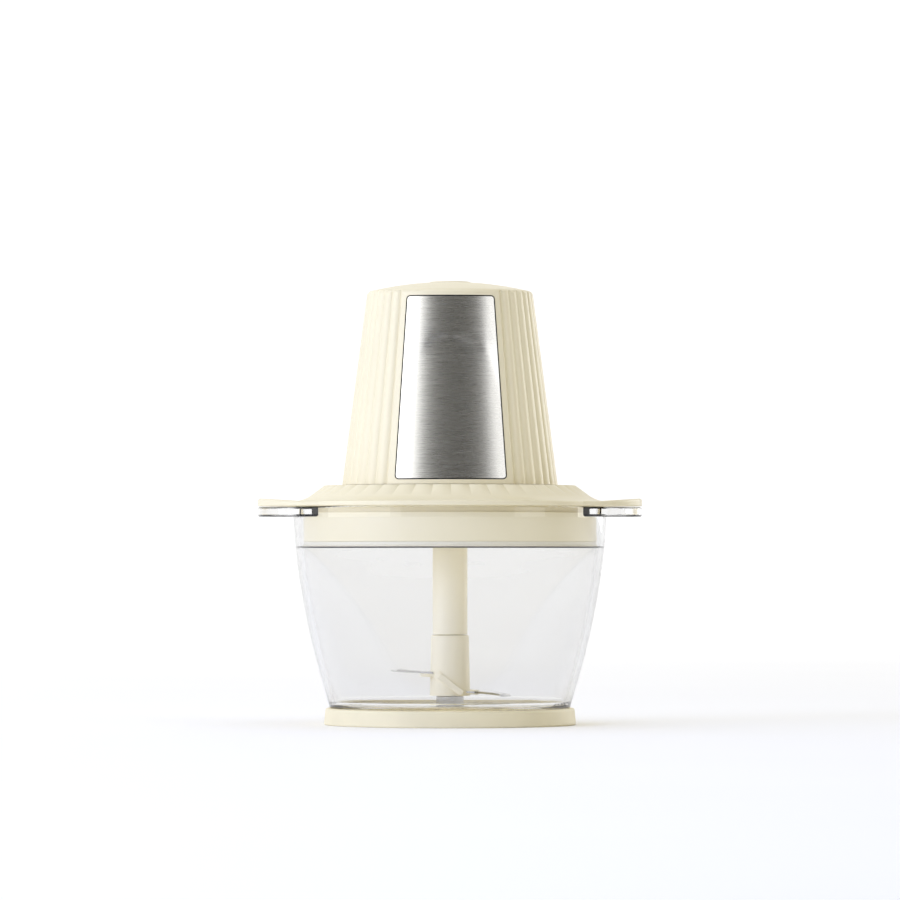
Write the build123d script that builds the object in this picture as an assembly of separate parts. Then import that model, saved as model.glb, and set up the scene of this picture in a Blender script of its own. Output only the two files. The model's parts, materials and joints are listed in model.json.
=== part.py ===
from build123d import *
import math
import os

# Mini food chopper: a motor head stands in a lid, the lid closes a glass bowl, and a two-level
# blade turns on a pin in the bowl's floor. +Z is up, the steel panel faces -Y, and the origin is
# the centre of the underside. Millimetres.

# ---- driving dimensions -------------------------------------------------------------------------
OVERALL_H = 221.5
EAR_REACH = 96.0            # half the width across the ears
EAR_DEPTH = 59.0            # half the depth of the ellipse that outlines the ears
SEAT_GAP = 0.1              # between flat faces of neighbouring bodies
SLIP_GAP = 0.3              # between round faces of neighbouring bodies
FIXED_GAP = 0.02            # round a piece that is pushed into another and stays
RUN_GAP = 0.05              # radial clearance of a running fit

# base and bowl
BASE_R = 63.0
BASE_H = 8.4
BASE_FLOOR = 2.2
BOWL_FOOT_Z = 2.3
BOWL_FOOT_RING = (49.0, 56.4)
BOWL_UNDER_R = 47.0
BOWL_UNDER_Z = 4.6
BOWL_FLOOR_Z = 8.7
BOWL_CORNER = [(54.6, 8.7), (56.8, 9.9), (57.6, 12.2)]
BOWL_WALL = 3.4
BOWL_OUTLINE = [(59.6, 7.0), (62.3, 16.3), (68.1, 37.3), (73.3, 61.3), (76.5, 82.3), (78.3, 103.4)]
BOWL_RIM_Z = 108.9
BOWL_RIM_ROUND = 0.8
BOWL_EAR_Z = (103.7, 108.6)
BOWL_SHOULDER_Z = 88.4      # the wall is thinner above this, where the lid's plug hangs
BOWL_SHOULDER = 0.7

# pivot pin through the bowl's floor
PIN_R = 4.0
PIN_TOP_Z = 41.0
PIN_FOOT_Z = 2.6
PIN_THREAD_R = 3.9
PIN_FLANGE_R = 9.6
PIN_FLANGE_Z = (9.1, 9.9)
SHOULDER_R = 6.9
SHOULDER_TOP_Z = 14.2
FLOOR_HOLE_R = 4.2
NUT_R = 6.3
NUT_H = 1.4
WASHER_R = 6.6

# blade unit
STEM_R = 8.7
STEM_TOP_Z = 113.1
STEM_BORE_R = 4.6
PLUG_R = 6.6                # the stem's plug in the hub
HUB_TOP_R = 9.4
HUB_FOOT_R = 10.1
HUB_TOP_Z = 45.0
HUB_FOOT_Z = 14.35
JOINT_GAP = 0.35            # the groove between the hub and the stem
SLEEVE_R = 6.0
BLADE_T = 1.0
BLADE_ROOT = (8.2, 12.5)    # where the blade starts in the hub, and where its curve starts
BLADE_HALF_W = 6.2
BLADE_TIP = [(28.2, -41.2), (27.0, -41.9)]
UPPER_BLADE_Z = 26.0
LOWER_BLADE_Z = 15.9
BLADE_TURN = 176.0          # direction of the upper blade's root about +Z, in degrees
BLADE_TILT = 2.0            # the upper blade rises and the lower one dips, in degrees
WING_REACH = 14.4
WING_DEPTH = 1.7
BAND_PROUD = 0.9
BAND_SLOPE = 37.5
BAND_W = 3.7
BAND_MID_Z = 20.4

# lid and its plug
LID_FOOT_Z = 109.1
LID_RIM_R = 78.3
LID_RIM_Z = 111.5           # top of the upright rim, where the flare starts
LID_RIM_ROUND = 0.5
LID_EAR_TIP_Z = 113.1
LID_EAR_BEND_X = 74.0       # the ears' tops rise from here to the tips
LID_EAR_ROUND = 1.2
FLUTE_FOOT_R = 70.4
FLUTE_FOOT_Z = 113.9
FLUTE_DEPTH = 2.0
LID_TOP_Z = 119.5
LEDGE_R = 61.8
WELL_R = 50.4
WELL_FLOOR_Z = 113.2
LID_WALL = 2.2
INSERT_R = 73.2
INSERT_FOOT_Z = 89.6
INSERT_LIP_Z = 91.5
INSERT_SHOULDER_Z = 106.0
INSERT_NECK_R = 71.0
INSERT_WALL = 2.0
SEAL_GROOVE = 2.6
SEAL_FOOT_Z = 89.0
COLLAR_R = 12.7
LID_BUSH_R = 10.5

# head casing
HEAD_FOOT_Z = 119.8
HEAD_FOOT_R = 53.9          # over the ribs at the foot
HEAD_TOP_R = 41.5           # over the ribs at DOME_EDGE_Z
DOME_EDGE_Z = 215.0
DOME_R = 172.0
DOME_TOP_Z = 221.2
RIB_COUNT = 44
RIB_DEPTH = 1.05
BROW_SHARE = 0.2            # share of a rib's pitch that the smooth front's edge takes
FRONT_RIBS = 9              # ribs left out behind the panel
HEAD_WALL = 2.3
SPIGOT_R = 49.9
SPIGOT_FOOT_Z = 116.6
SPIGOT_WALL = 2.4
PLATE_FOOT_Z = 113.6
PLATE_SOCKET_TOP_Z = 119.0
SCREW_R = 1.7
SCREW_CLEARANCE_R = 2.0
BOSS_R = 4.0
BOSS_ANGLES = [30, 150, 270]
BOSS_RADIUS = 41.5
BOSS_TOP_Z = 136.0

# steel panel on its gasket
PANEL_HALF_ANGLE = 30.5
PANEL_Z = (122.6, 212.6)
PANEL_CORNER = 1.4
PANEL_T = 0.75
PANEL_GAP = 0.6
PANEL_POCKET = 1.5          # depth of the pocket under the ribs' crowns
PANEL_INSET = 0.3           # depth of the panel's face under the ribs' crowns
GASKET_INSET = 0.5

# button, switch and electronics
BUTTON_R = 10.3
BUTTON_TRAVEL = 2.5
BUTTON_FLANGE_R = 11.6
BUTTON_SKIRT_Z = (213.6, 218.0)
BUTTON_BORE_R = 9.4
BUTTON_ROOF_Z = 219.2
BUTTON_STEM_R = 2.2
GUIDE_WALL = 1.8
GUIDE_FOOT_Z = 209.0
SPRING_R = 8.3
SPRING_WIRE_R = 0.3
SPRING_TURNS = 6
BRACKET_Z = (200.0, 202.4)
BRACKET_BOSS_X = 33.0
SWITCH_Z = (202.45, 209.0)
SWITCH_HALF = (6.4, 3.0)
SWITCH_BORE_R = 1.5
SWITCH_BORE_DEPTH = 4.6
PLUNGER_R = 1.2
PLUNGER_RISE = BUTTON_TRAVEL + 0.3
BOARD_Y = (32.0, 33.6)
GLAND_Z = 135.0
GLAND_BORE_R = 3.6
GLAND_R = 6.5
GLAND_FLANGE_R = 8.4
GLAND_Y = (39.5, 53.6)

# planetary gearbox
GEAR_MODULE = 0.8
SUN_TEETH = 12
PLANET_TEETH = 18
RING_TEETH = 48
PLANETS = 3
CENTRE_DISTANCE = GEAR_MODULE * (SUN_TEETH + PLANET_TEETH) / 2
PRESSURE_ANGLE = math.radians(25)
GEAR_BACKLASH = 0.16
GEAR_Z = (122.5, 131.5)
PLANET_PIN_R = 2.0
CARRIER_R = 17.2
CARRIER_Z = (119.6, 122.2)
CARRIER_BORE_R = 5.0
RING_RIM = 2.4
JOURNAL_R = 6.0
OUTPUT_BUSH_R = 8.0
HEX_HALF = 4.5              # half the drive hexagon's width across flats
HEX_FOOT_Z = 96.5
CASE_R = 24.2
CASE_Z = (119.2, 133.2)
COVER_T = 1.8
LUG_T = 2.4
MOUNT_ANGLES = [60, 120, 240, 300]
MOUNT_RADIUS = 29.0
MOUNT_SCREW_R = 1.4

# motor
CORE_Z = (153.0, 173.0)
ARMATURE_R = 14.2
ARMATURE_SLOTS = 12
STATOR_BORE_R = 14.9
STATOR_HALF = 27.5
SHAFT_R = 2.5
PINION_SHAFT_R = 2.0
COMMUTATOR_R = 9.0
COMMUTATOR_Z = (178.0, 188.0)
COMMUTATOR_BARS = 24
FAN_R = 20.5
FAN_VANES = 11
FAN_Z = (136.0, 142.6)
PILLAR_X = 25.0
PILLAR_SCREW_R = 1.5
BEARING_R = 5.5
BRACKET_LOW_Z = (143.4, 146.4)
BRACKET_HIGH_Z = (191.0, 194.0)
TUBE_Z = (180.2, 187.2)
TUBE_HALF = 3.2


# ---- helpers ------------------------------------------------------------------------------------
def save(name, *solids):
    """Write one sub-part, as one solid or as a group of separate solids."""
    shapes = [piece for solid in solids for piece in solid.solids()]
    export_step(shapes[0] if len(shapes) == 1 else Compound(children=shapes), f"parts/{name}.step")


def turned(points):
    """A solid of revolution about Z from (radius, height) corners."""
    outline = Polyline(*[(r, 0, z) for r, z in points], close=True)
    return revolve(make_face(outline), Axis.Z)


def spun(curves):
    """A solid of revolution about Z from the joined curves of its outline."""
    edges = [edge for curve in curves for edge in curve.edges()]
    return revolve(make_face(Wire(edges)), Axis.Z)


def tube(outer, inner, low, high):
    """A hollow cylinder about Z; an inner radius of 0 makes it full."""
    body = Pos(0, 0, low) * extrude(Circle(outer), high - low)
    if inner > 0:
        body -= Pos(0, 0, low) * extrude(Circle(inner), high - low)
    return body


def at_polar(radius, degrees, shape):
    """A shape moved out along a direction about Z and turned to face it."""
    return Rot(0, 0, degrees) * Pos(radius, 0, 0) * shape


def block(x, y, z):
    """A box from its limits along each axis."""
    return Pos(sum(x) / 2, sum(y) / 2, sum(z) / 2) * Box(x[1] - x[0], y[1] - y[0], z[1] - z[0])


def cone_r(z, outset=0.0):
    """Radius over the head's ribs at a height."""
    slope = (HEAD_TOP_R - HEAD_FOOT_R) / (DOME_EDGE_Z - HEAD_FOOT_Z)
    return HEAD_FOOT_R + slope * (z - HEAD_FOOT_Z) + outset


def on_circle(radius, degrees, z):
    """A point at a bearing, where 0 is the front, -Y."""
    a = math.radians(degrees - 90)
    return (radius * math.cos(a), radius * math.sin(a), z)


def ribbed_outline(crown_r, valley_r, z, smooth_ribs):
    """A closed outline of convex ribs with sharp valleys; the front may stay smooth."""
    pitch = 360 / RIB_COUNT
    edges = []
    for rib in range(RIB_COUNT - smooth_ribs):
        start = (smooth_ribs / 2 + rib) * pitch
        ends = [on_circle(valley_r, start, z), on_circle(valley_r, start + pitch, z)]
        edges.append(ThreePointArc(ends[0], on_circle(crown_r, start + pitch / 2, z), ends[1]))
    if smooth_ribs:
        half = smooth_ribs / 2 * pitch
        brow = half - pitch * BROW_SHARE
        left = [on_circle(valley_r, -half, z), on_circle(crown_r, -brow, z)]
        right = [on_circle(crown_r, brow, z), on_circle(valley_r, half, z)]
        edges.append(Line(*left))
        edges.append(ThreePointArc(left[1], on_circle(crown_r, 0, z), right[0]))
        edges.append(Line(*right))
    return make_face(Wire(edges))


def ear_plate(low, high):
    """The disc-and-ears outline shared by the bowl and the lid, as a slab."""
    return Pos(0, 0, low) * extrude(Ellipse(EAR_REACH, EAR_DEPTH), high - low)


def screw(shank_r, head_r, head_h, length):
    """A pan-head screw with a cross recess: head above Z = 0, shank below."""
    body = tube(head_r, 0, 0, head_h) + tube(shank_r, 0, -length, 0)
    for turn in (0, 90):
        body -= Rot(0, 0, turn) * block((-head_r * 0.6, head_r * 0.6), (-0.3, 0.3), (head_h / 2, head_h))
    return body


# ---- bowl and base ------------------------------------------------------------------------------
def base_ring():
    dish = turned([(0, 0), (BASE_R, 0), (BASE_R - 0.8, BASE_H), (0, BASE_H)])
    dish = fillet(dish.edges().filter_by(GeomType.CIRCLE).group_by(Axis.Z)[-1], 1.2)
    dish = fillet(dish.edges().filter_by(GeomType.CIRCLE).group_by(Axis.Z)[0], 0.8)
    seat_r = BOWL_OUTLINE[0][0] + SLIP_GAP + 0.35
    return dish - turned([(0, BASE_FLOOR), (seat_r, BASE_FLOOR), (seat_r, BASE_H + 1), (0, BASE_H + 1)])


def bowl_hollow(wall):
    """The space inside the bowl for a wall of this thickness, open at the rounded rim."""
    throat_r = BOWL_OUTLINE[-1][0] - wall
    side = [BOWL_CORNER[-1]] + [(r - wall, z) for r, z in BOWL_OUTLINE[1:]]
    above = BOWL_RIM_Z + 2
    rim_low = (throat_r, 0, BOWL_RIM_Z - BOWL_RIM_ROUND)
    rim_high = (throat_r + BOWL_RIM_ROUND, 0, BOWL_RIM_Z)
    bulge = BOWL_RIM_ROUND * (1 - math.sqrt(0.5))
    rim_mid = (throat_r + bulge, 0, BOWL_RIM_Z - bulge)
    corner = [(r, 0, z) for r, z in BOWL_CORNER]
    outline = [
        Spline(*[(r, 0, z) for r, z in side]),
        Line((throat_r, 0, side[-1][1]), rim_low),
        ThreePointArc(rim_low, rim_mid, rim_high),
        Polyline(rim_high, (rim_high[0], 0, above), (0, 0, above), (0, 0, BOWL_FLOOR_Z), corner[0]),
        ThreePointArc(*corner),
    ]
    return spun(outline)


def glass_bowl():
    """An even wall, a flat floor over a foot ring, a shoulder for the lid's plug and two ears."""
    foot_r, foot_z = BOWL_OUTLINE[0]
    top_r, top_z = BOWL_OUTLINE[-1]
    ring_in, ring_out = BOWL_FOOT_RING
    outline = [
        Spline(*[(r, 0, z) for r, z in BOWL_OUTLINE]),
        Polyline(
            (top_r, 0, top_z), (top_r, 0, BOWL_RIM_Z), (0, 0, BOWL_RIM_Z), (0, 0, BOWL_UNDER_Z),
            (BOWL_UNDER_R, 0, BOWL_UNDER_Z), (ring_in, 0, BOWL_FOOT_Z), (ring_out, 0, BOWL_FOOT_Z),
            (foot_r, 0, foot_z),
        ),
    ]
    body = spun(outline)
    rim = body.edges().filter_by(GeomType.CIRCLE).group_by(Axis.Z)[-1]
    body = fillet(rim, BOWL_RIM_ROUND)
    ears = ear_plate(*BOWL_EAR_Z)
    ears = fillet(ears.edges().group_by(Axis.Z)[0], 1.2)
    ears = fillet(ears.edges().group_by(Axis.Z)[-1], BOWL_RIM_ROUND)
    bowl = body + ears - bowl_hollow(BOWL_WALL)
    bowl -= bowl_hollow(BOWL_WALL - BOWL_SHOULDER) & tube(LID_RIM_R, 0, BOWL_SHOULDER_Z, BOWL_RIM_Z + 2)
    return bowl - tube(FLOOR_HOLE_R, 0, 0, BOWL_FLOOR_Z + 1)


def pivot_pin():
    """Steel pin: a flange on the floor, a shoulder that carries the blade, a thread below."""
    flange_foot, flange_top = PIN_FLANGE_Z
    return turned([
        (0, PIN_FOOT_Z), (PIN_THREAD_R, PIN_FOOT_Z), (PIN_THREAD_R, flange_foot), (PIN_FLANGE_R, flange_foot),
        (PIN_FLANGE_R, flange_top - 0.3), (PIN_FLANGE_R - 0.4, flange_top), (SHOULDER_R, flange_top),
        (SHOULDER_R, SHOULDER_TOP_Z - 0.3), (SHOULDER_R - 0.3, SHOULDER_TOP_Z), (PIN_R, SHOULDER_TOP_Z),
        (PIN_R, PIN_TOP_Z - 1.5), (PIN_R - 1.5, PIN_TOP_Z), (0, PIN_TOP_Z),
    ])


def pin_nut():
    nut = Pos(0, 0, PIN_FOOT_Z) * extrude(RegularPolygon(NUT_R, 6), NUT_H)
    return nut - tube(PIN_THREAD_R + FIXED_GAP, 0, 2, 5)


def pin_washer():
    return tube(WASHER_R, PIN_THREAD_R + FIXED_GAP, PIN_FOOT_Z + NUT_H + FIXED_GAP, BOWL_UNDER_Z - FIXED_GAP)


def pin_seal():
    return tube(PIN_FLANGE_R + 0.1, PIN_THREAD_R + FIXED_GAP, BOWL_FLOOR_Z, PIN_FLANGE_Z[0] - FIXED_GAP)


# ---- blade unit ---------------------------------------------------------------------------------
def seated(z, direction, tilt, shape):
    """A shape turned to a blade's direction, tilted about its root and raised to its seat."""
    root = BLADE_ROOT[0]
    return Rot(0, 0, direction) * Pos(root, 0, z) * Rot(0, -tilt, 0) * Pos(-root, 0, 0) * shape


def blade(z, direction, tilt):
    """A sickle blade that sweeps back: its outer edge is ground."""
    start, bend = BLADE_ROOT
    outer_tip, inner_tip = BLADE_TIP
    plan = Wire([
        Line((start, BLADE_HALF_W), (bend, BLADE_HALF_W)),
        ThreePointArc((bend, BLADE_HALF_W), (27.2, -8.5), outer_tip),
        Line(outer_tip, inner_tip),
        ThreePointArc(inner_tip, (20.0, -17.0), (bend, -BLADE_HALF_W)),
        Line((bend, -BLADE_HALF_W), (start, -BLADE_HALF_W)),
        Line((start, -BLADE_HALF_W), (start, BLADE_HALF_W)),
    ])
    plate = extrude(make_face(plan), BLADE_T)
    grind = Wire([
        ThreePointArc((bend + 2, BLADE_HALF_W + 3), (31.0, -8.5), (31.0, -41.0)),
        Line((31.0, -41.0), (26.5, -39.5)),
        ThreePointArc((26.5, -39.5), (24.6, -10.0), (bend + 1, 2.6)),
        Line((bend + 1, 2.6), (bend + 2, BLADE_HALF_W + 3)),
    ])
    plate -= Pos(0, 0, BLADE_T * 0.5) * extrude(make_face(grind), BLADE_T)
    return seated(z, direction, tilt, plate)


def upper_blade():
    return blade(UPPER_BLADE_Z, BLADE_TURN, BLADE_TILT)


def lower_blade():
    return blade(LOWER_BLADE_Z, BLADE_TURN + 180, -BLADE_TILT)


def hub_wing(low, high):
    """A moulded wing that holds a blade's root."""
    half = BLADE_HALF_W + 1.0
    plan = Polyline(
        (5, -half), (WING_REACH - 3, -half), (WING_REACH, 1 - half), (WING_REACH, half - 1),
        (WING_REACH - 3, half), (5, half), close=True,
    )
    return Pos(0, 0, low) * extrude(make_face(plan), high - low)


def hub_band():
    """The raised strip that runs down the hub's side from the upper wing to the lower one."""
    strip = Rot(0, BAND_SLOPE, 0) * Box(18, 30, BAND_W)
    front = block((-30, 30), (-30, 0), (0, 60))
    return (Pos(0, 0, BAND_MID_Z) * strip) & front & tube(HUB_FOOT_R + BAND_PROUD, 0, HUB_FOOT_Z, HUB_TOP_Z)


def blade_hub():
    hub = turned([
        (0, HUB_FOOT_Z), (HUB_FOOT_R, HUB_FOOT_Z), (HUB_TOP_R, HUB_TOP_Z - 0.4), (HUB_TOP_R - 0.4, HUB_TOP_Z),
        (0, HUB_TOP_Z),
    ])
    upper = (UPPER_BLADE_Z, BLADE_TURN, BLADE_TILT)
    lower = (LOWER_BLADE_Z, BLADE_TURN + 180, -BLADE_TILT)
    hub += seated(*upper, hub_wing(-WING_DEPTH, 0))
    hub += seated(*lower, hub_wing(-0.7, 0)) - tube(30, 0, 0, HUB_FOOT_Z)
    hub += seated(*lower, hub_wing(BLADE_T, BLADE_T + 0.5))
    hub += hub_band() + mirror(hub_band(), about=Plane.XZ)
    slot_half = BLADE_HALF_W + 0.05
    slot = block((BLADE_ROOT[0] - FIXED_GAP, 30), (-slot_half, slot_half), (-FIXED_GAP, BLADE_T + FIXED_GAP))
    hub -= seated(*upper, slot)
    hub -= seated(*lower, slot)
    bore_top = PIN_TOP_Z + 1.0
    hub -= tube(SLEEVE_R + RUN_GAP, 0, HUB_FOOT_Z - 1, bore_top)
    return hub - tube(PLUG_R + FIXED_GAP, 0, bore_top, HUB_TOP_Z + 1)


def blade_stem():
    foot = HUB_TOP_Z + JOINT_GAP
    stem = tube(STEM_R, 0, foot, STEM_TOP_Z)
    stem = chamfer(stem.edges().filter_by(GeomType.CIRCLE).group_by(Axis.Z)[-1], 0.6)
    stem = chamfer(stem.edges().filter_by(GeomType.CIRCLE).group_by(Axis.Z)[0], 0.25)
    stem += tube(PLUG_R, 0, PIN_TOP_Z + 1.1, foot)
    socket_foot = HEX_FOOT_Z - 1.5
    corner_r = (HEX_HALF + 0.15) / math.cos(math.pi / 6)
    socket = Pos(0, 0, socket_foot) * extrude(RegularPolygon(corner_r, 6), 30)
    return stem - socket - tube(STEM_BORE_R, 0, PIN_TOP_Z, socket_foot - 4)


def pivot_sleeve():
    sleeve = tube(SLEEVE_R, PIN_R + RUN_GAP, SHOULDER_TOP_Z + SEAT_GAP, PIN_TOP_Z)
    return sleeve


# ---- lid ----------------------------------------------------------------------------------------
def lid_ears():
    """Two ears over the bowl's, whose tops rise a little towards their tips."""
    half = EAR_REACH + 1
    profile = Polyline(
        (-half, LID_FOOT_Z), (half, LID_FOOT_Z), (half, LID_EAR_TIP_Z), (LID_EAR_BEND_X, LID_RIM_Z),
        (-LID_EAR_BEND_X, LID_RIM_Z), (-half, LID_EAR_TIP_Z), close=True,
    )
    ears = extrude(Plane.XZ * make_face(profile), EAR_DEPTH + 1, both=True)
    ears = ears & ear_plate(LID_FOOT_Z, LID_EAR_TIP_Z + 1)
    high = [edge for edge in ears.edges() if edge.center().Z > LID_RIM_Z - 1]
    ears = fillet([edge for edge in high if edge.geom_type != GeomType.LINE], LID_EAR_ROUND)
    return fillet(ears.edges().group_by(Axis.Z)[0], LID_RIM_ROUND)


def lid():
    """A fluted skirt over an upright rim, with two ears and a well for the head."""
    rim_start = (LID_RIM_R, 0, LID_RIM_Z - LID_RIM_ROUND)
    rim_end = (LID_RIM_R - LID_RIM_ROUND, 0, LID_RIM_Z + 0.05)
    flare_end = (FLUTE_FOOT_R, 0, FLUTE_FOOT_Z)
    outline = [
        Polyline(
            (0, 0, LID_FOOT_Z), (LID_RIM_R - 0.3, 0, LID_FOOT_Z), (LID_RIM_R, 0, LID_FOOT_Z + 0.3), rim_start,
        ),
        ThreePointArc(rim_start, (LID_RIM_R - 0.15, 0, LID_RIM_Z - 0.12), rim_end),
        Spline(rim_end, (74.2, 0, LID_RIM_Z + 0.7), flare_end),
        Polyline(flare_end, (0, 0, FLUTE_FOOT_Z), (0, 0, LID_FOOT_Z)),
    ]
    skirt = spun(outline)
    low = ribbed_outline(FLUTE_FOOT_R + 0.1, FLUTE_FOOT_R + 0.05, FLUTE_FOOT_Z - 0.1, 0)
    high = ribbed_outline(LEDGE_R + 0.9, LEDGE_R + 0.9 - FLUTE_DEPTH, LID_TOP_Z, 0)
    skirt += loft([low, high], ruled=True)
    ears = lid_ears()
    roof_z = LID_TOP_Z - LID_WALL - 0.6
    under = turned([
        (0, 100), (70.2, 100), (70.2, LID_FOOT_Z + 1.2), (60.5, roof_z), (WELL_R + LID_WALL, roof_z),
        (WELL_R + LID_WALL, WELL_FLOOR_Z - LID_WALL), (0, WELL_FLOOR_Z - LID_WALL),
    ])
    well = tube(WELL_R, 0, WELL_FLOOR_Z, LID_TOP_Z + 1)
    return skirt + ears - well - under - tube(STEM_R + SLIP_GAP, 0, 100, 130)


def lid_insert():
    """The plug that hangs in the bowl: a deep cup with a tall collar for the stem."""
    groove_r = INSERT_R - SEAL_GROOVE
    cup = turned([
        (0, INSERT_FOOT_Z), (groove_r, INSERT_FOOT_Z), (groove_r, INSERT_LIP_Z),
        (INSERT_R - 0.3, INSERT_LIP_Z), (INSERT_R, INSERT_LIP_Z + 0.3), (INSERT_R, INSERT_SHOULDER_Z - 0.3),
        (INSERT_R - 0.3, INSERT_SHOULDER_Z), (INSERT_NECK_R, INSERT_SHOULDER_Z),
        (INSERT_NECK_R, LID_FOOT_Z), (0, LID_FOOT_Z),
    ])
    floor = INSERT_FOOT_Z + INSERT_WALL
    hollow_r = groove_r - INSERT_WALL
    hollow = turned([
        (COLLAR_R, floor), (hollow_r, floor), (hollow_r + 0.4, LID_FOOT_Z + 1), (COLLAR_R, LID_FOOT_Z + 1),
    ])
    collar_top = WELL_FLOOR_Z - LID_WALL - FIXED_GAP
    cup = cup - hollow + tube(COLLAR_R, 0, LID_FOOT_Z - 1, collar_top)
    for turn in range(0, 360, 60):
        rib = block((COLLAR_R - 0.5, hollow_r + 0.2), (-0.9, 0.9), (INSERT_FOOT_Z + 1, INSERT_FOOT_Z + 7.4))
        cup += Rot(0, 0, turn) * rib
    return cup - tube(LID_BUSH_R + FIXED_GAP, 0, 80, 120)


def lid_seal():
    """A silicone ring in the groove at the plug's foot, with a thin lip."""
    groove_r = INSERT_R - SEAL_GROOVE + FIXED_GAP
    lip_r = INSERT_R + 0.85
    lip_z = SEAL_FOOT_Z + 0.3
    top_z = INSERT_LIP_Z - 0.05
    return turned([
        (groove_r, lip_z), (INSERT_R - 0.5, lip_z), (lip_r, SEAL_FOOT_Z), (lip_r, lip_z),
        (INSERT_R - 0.2, lip_z + 0.6), (INSERT_R - 0.2, top_z), (groove_r, top_z),
    ])


def lid_bush():
    top = WELL_FLOOR_Z - LID_WALL - FIXED_GAP
    return tube(LID_BUSH_R, STEM_R + RUN_GAP, INSERT_FOOT_Z, top)


# ---- head casing --------------------------------------------------------------------------------
def dome_z(radius, inset):
    """Height of the dome, or of its inner face, at a radius."""
    return DOME_TOP_Z - DOME_R + math.sqrt((DOME_R - inset)**2 - radius**2)


def head_envelope():
    """The ribbed cone under a rounded edge and a shallow dome."""
    top_z = 223.0
    low = ribbed_outline(cone_r(HEAD_FOOT_Z), cone_r(HEAD_FOOT_Z, -RIB_DEPTH), HEAD_FOOT_Z, FRONT_RIBS)
    high = ribbed_outline(cone_r(top_z), cone_r(top_z, -RIB_DEPTH * 0.85), top_z, FRONT_RIBS)
    dome_r = HEAD_TOP_R - 2.2
    dome_edge = (dome_r, 0, dome_z(dome_r, 0))
    foot = (cone_r(105, 0.05), 0, 105)
    shoulder = (cone_r(DOME_EDGE_Z - 0.6, 0.05), 0, DOME_EDGE_Z - 0.6)
    limit = spun([
        Polyline((0, 0, DOME_TOP_Z), (0, 0, 105), foot, shoulder),
        ThreePointArc(shoulder, (HEAD_TOP_R - 0.62, 0, dome_edge[2] - 0.78), dome_edge),
        ThreePointArc(dome_edge, (dome_r / 2, 0, dome_z(dome_r / 2, 0)), (0, 0, DOME_TOP_Z)),
    ])
    return loft([low, high], ruled=True) & limit


def panel_prism(outset):
    """The panel's front view, a trapezium with round corners, as a prism through the front wall."""
    spread = math.sin(math.radians(PANEL_HALF_ANGLE))
    low = PANEL_Z[0] - outset
    high = PANEL_Z[1] + outset
    wide = cone_r(low) * spread + outset
    narrow = cone_r(high) * spread + outset
    outline = Polyline((-wide, 0, low), (wide, 0, low), (narrow, 0, high), (-narrow, 0, high), close=True)
    face = make_face(outline)
    face = fillet(face.vertices(), PANEL_CORNER + outset)
    return Pos(0, -20, 0) * extrude(face, 50, dir=(0, -1, 0))


def cone_shell(outer_set, inner_set):
    low = 110
    high = 220
    return turned([
        (cone_r(low, inner_set), low), (cone_r(low, outer_set), low),
        (cone_r(high, outer_set), high), (cone_r(high, inner_set), high),
    ])


def front_panel():
    return panel_prism(0) & cone_shell(-PANEL_INSET, -PANEL_INSET - PANEL_T)


def panel_gasket():
    """The black tray that the panel sits in; its rim fills the gap round the panel."""
    tray = panel_prism(PANEL_GAP - 0.05) & cone_shell(-GASKET_INSET, -PANEL_POCKET + 0.05)
    return tray - (panel_prism(0.05) & cone_shell(0, -PANEL_INSET - PANEL_T - 0.05))


def boss(angle, radius, low, high, out_to):
    """A screw boss inside the casing, tied to the wall by a web."""
    post = tube(BOSS_R, 0, low, high)
    web = block((0, out_to - radius), (-1.2, 1.2), (low, high))
    return at_polar(radius, angle, post + web)


def head_cavity():
    """The space inside the head: the spigot's bore, a step, the cone and the dome."""
    inset = -RIB_DEPTH - HEAD_WALL
    bore_r = SPIGOT_R - SPIGOT_WALL
    foot_z = SPIGOT_FOOT_Z - 1
    step_z = HEAD_FOOT_Z + 2.4
    edge_z = DOME_EDGE_Z - 1.6
    edge_r = cone_r(edge_z, inset)
    roof_edge = (edge_r - 1, 0, dome_z(edge_r - 1, HEAD_WALL))
    roof_mid = (20, 0, dome_z(20, HEAD_WALL))
    roof_top = (0, 0, dome_z(0, HEAD_WALL))
    return spun([
        Polyline(
            roof_top, (0, 0, foot_z), (bore_r, 0, foot_z), (bore_r, 0, step_z),
            (cone_r(step_z, inset), 0, step_z), (edge_r, 0, edge_z), roof_edge,
        ),
        ThreePointArc(roof_edge, roof_mid, roof_top),
    ])


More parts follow.
